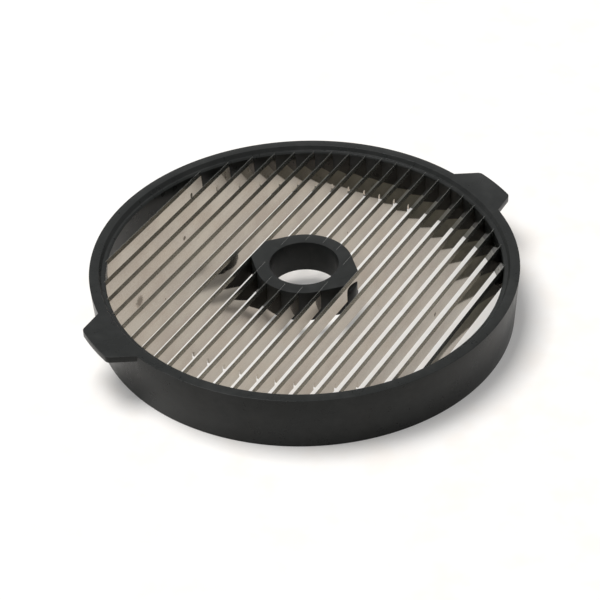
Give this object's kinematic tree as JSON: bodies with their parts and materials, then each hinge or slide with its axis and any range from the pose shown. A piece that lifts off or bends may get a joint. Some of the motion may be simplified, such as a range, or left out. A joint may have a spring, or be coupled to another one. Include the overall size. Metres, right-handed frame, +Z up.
{
  "type": "french fry cutting grid",
  "caption": "Round cutting grid with parallel steel blades held in a black ring and bored hub, for pushing potato through to make straight fries.",
  "frame": {"origin": "centre of the ring's base, on the surface that the grid stands on", "axes": "+Z up through the bore, out of the side with the cutting edges; +Y along the blades; +X across them"},
  "size_m": [0.205, 0.2086, 0.028],
  "materials": {
    "ring_plastic": "fine satin moulded black",
    "hub_plastic": "fine satin moulded black",
    "blade_steel": "fine brushed stainless steel with bright ground edges"
  },
  "bodies": {
    "root": {"outer_ring": "ring_plastic", "hub": "hub_plastic", "blade_left_10": "blade_steel", "blade_left_09": "blade_steel", "blade_left_08": "blade_steel", "blade_left_07": "blade_steel", "blade_left_06": "blade_steel", "blade_left_05": "blade_steel", "blade_left_04": "blade_steel", "blade_left_03": "blade_steel", "blade_left_02_front": "blade_steel", "blade_left_02_rear": "blade_steel", "blade_left_01_front": "blade_steel", "blade_left_01_rear": "blade_steel", "blade_middle_front": "blade_steel", "blade_middle_rear": "blade_steel", "blade_right_01_front": "blade_steel", "blade_right_01_rear": "blade_steel", "blade_right_02_front": "blade_steel", "blade_right_02_rear": "blade_steel", "blade_right_03": "blade_steel", "blade_right_04": "blade_steel", "blade_right_05": "blade_steel", "blade_right_06": "blade_steel", "blade_right_07": "blade_steel", "blade_right_08": "blade_steel", "blade_right_09": "blade_steel", "blade_right_10": "blade_steel"}
  },
  "joints": []
}
